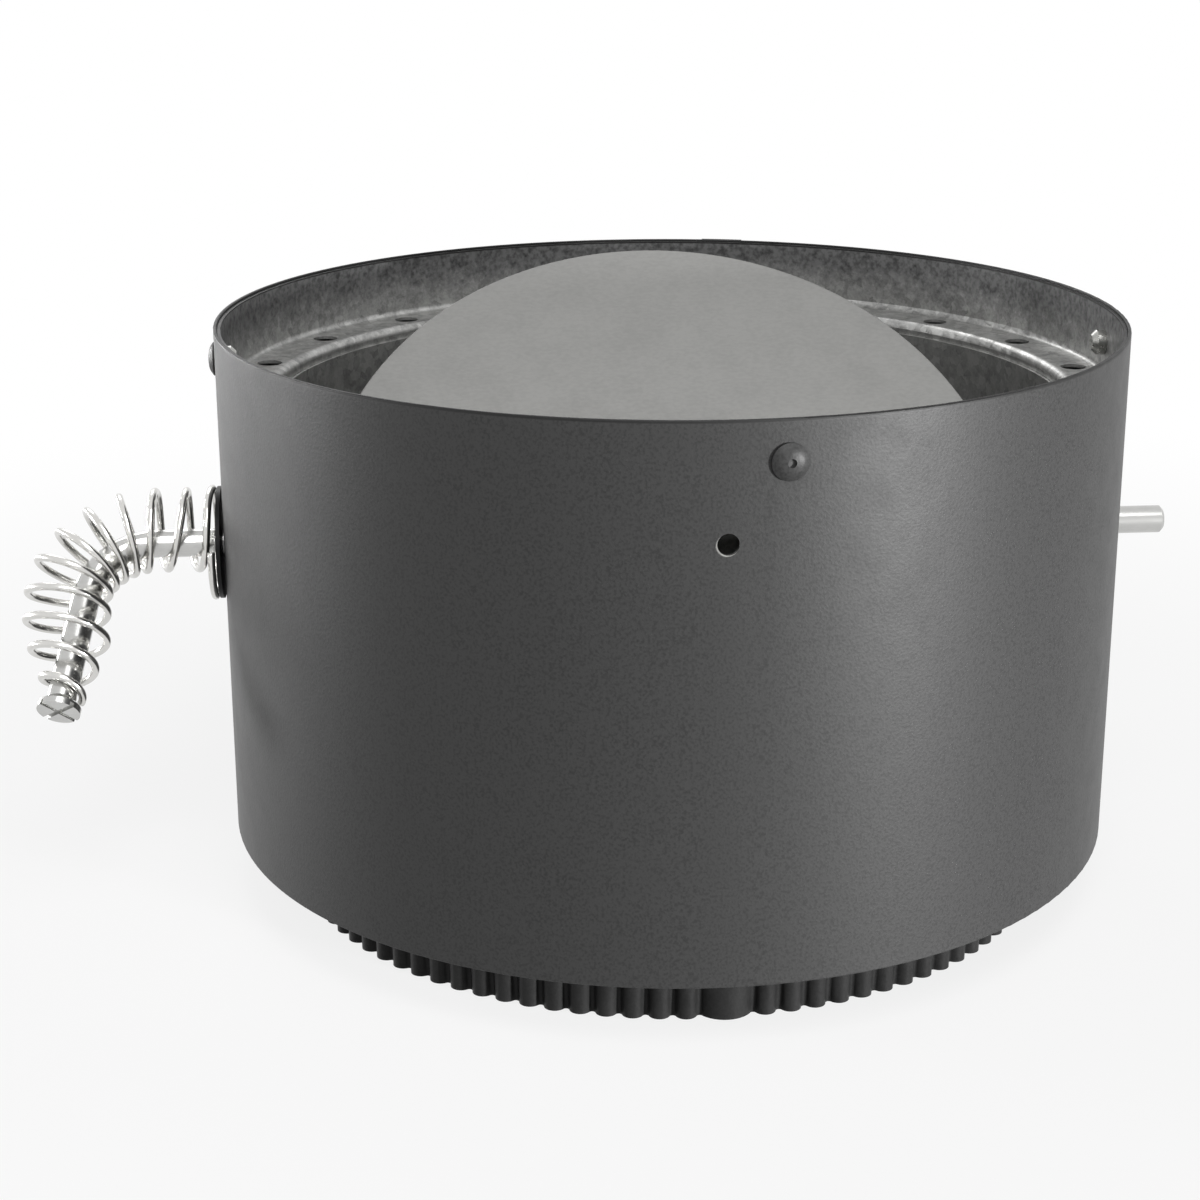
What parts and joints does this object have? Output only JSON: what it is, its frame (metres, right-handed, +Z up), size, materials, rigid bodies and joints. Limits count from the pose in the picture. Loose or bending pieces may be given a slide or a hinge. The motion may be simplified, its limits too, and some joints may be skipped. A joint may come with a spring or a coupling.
{
  "type": "stove pipe adapter with damper",
  "caption": "Round adapter that joins a stove's flue outlet to double-wall pipe, with a shell, a liner, a crimped collar and a disc damper on a rod with a coiled handle.",
  "frame": {"origin": "on the flue axis, in the plane of the liner's lower edge, where the stove's flue outlet seats", "axes": "+Z up the flue, away from the stove; X along the damper rod, with the handle at -X; -Y is the front of the picture, with the screw hole"},
  "size_m": [0.226, 0.1768, 0.1165],
  "materials": {
    "shell_paint": "satin charcoal stove paint, fine speckle",
    "collar_paint": "satin black stove paint",
    "aluminised_sheet": "aluminised steel sheet, mottled and dull",
    "disc_steel": "plain sheet steel, matte light grey",
    "zinc_plate": "bright zinc plate",
    "nickel_wire": "bright nickel plated spring wire"
  },
  "bodies": {
    "casing": {"outer_shell": "shell_paint", "inner_liner": "aluminised_sheet", "stove_collar": "collar_paint", "top_spacer_ring": "aluminised_sheet", "spacer_clip_front_right": "aluminised_sheet", "spacer_clip_rear_right": "aluminised_sheet", "spacer_clip_rear_left": "aluminised_sheet", "spacer_clip_front_left": "aluminised_sheet", "shell_rivets": "shell_paint", "collar_rivets": "zinc_plate", "clip_rivets": "zinc_plate"},
    "damper": {"damper_plate": "disc_steel", "left_saddle_strap": "disc_steel", "right_saddle_strap": "disc_steel", "saddle_rivets": "zinc_plate", "damper_rod": "zinc_plate", "handle_coil": "nickel_wire", "handle_washer": "collar_paint", "stop_washer": "zinc_plate", "rod_retainer": "zinc_plate"}
  },
  "joints": [
    {"name": "damper_turn", "type": "hinge", "parent": "casing", "child": "damper", "pos_m": [0, 0, 0.0269], "axis": [1, 0, 0], "continuous": true}
  ]
}
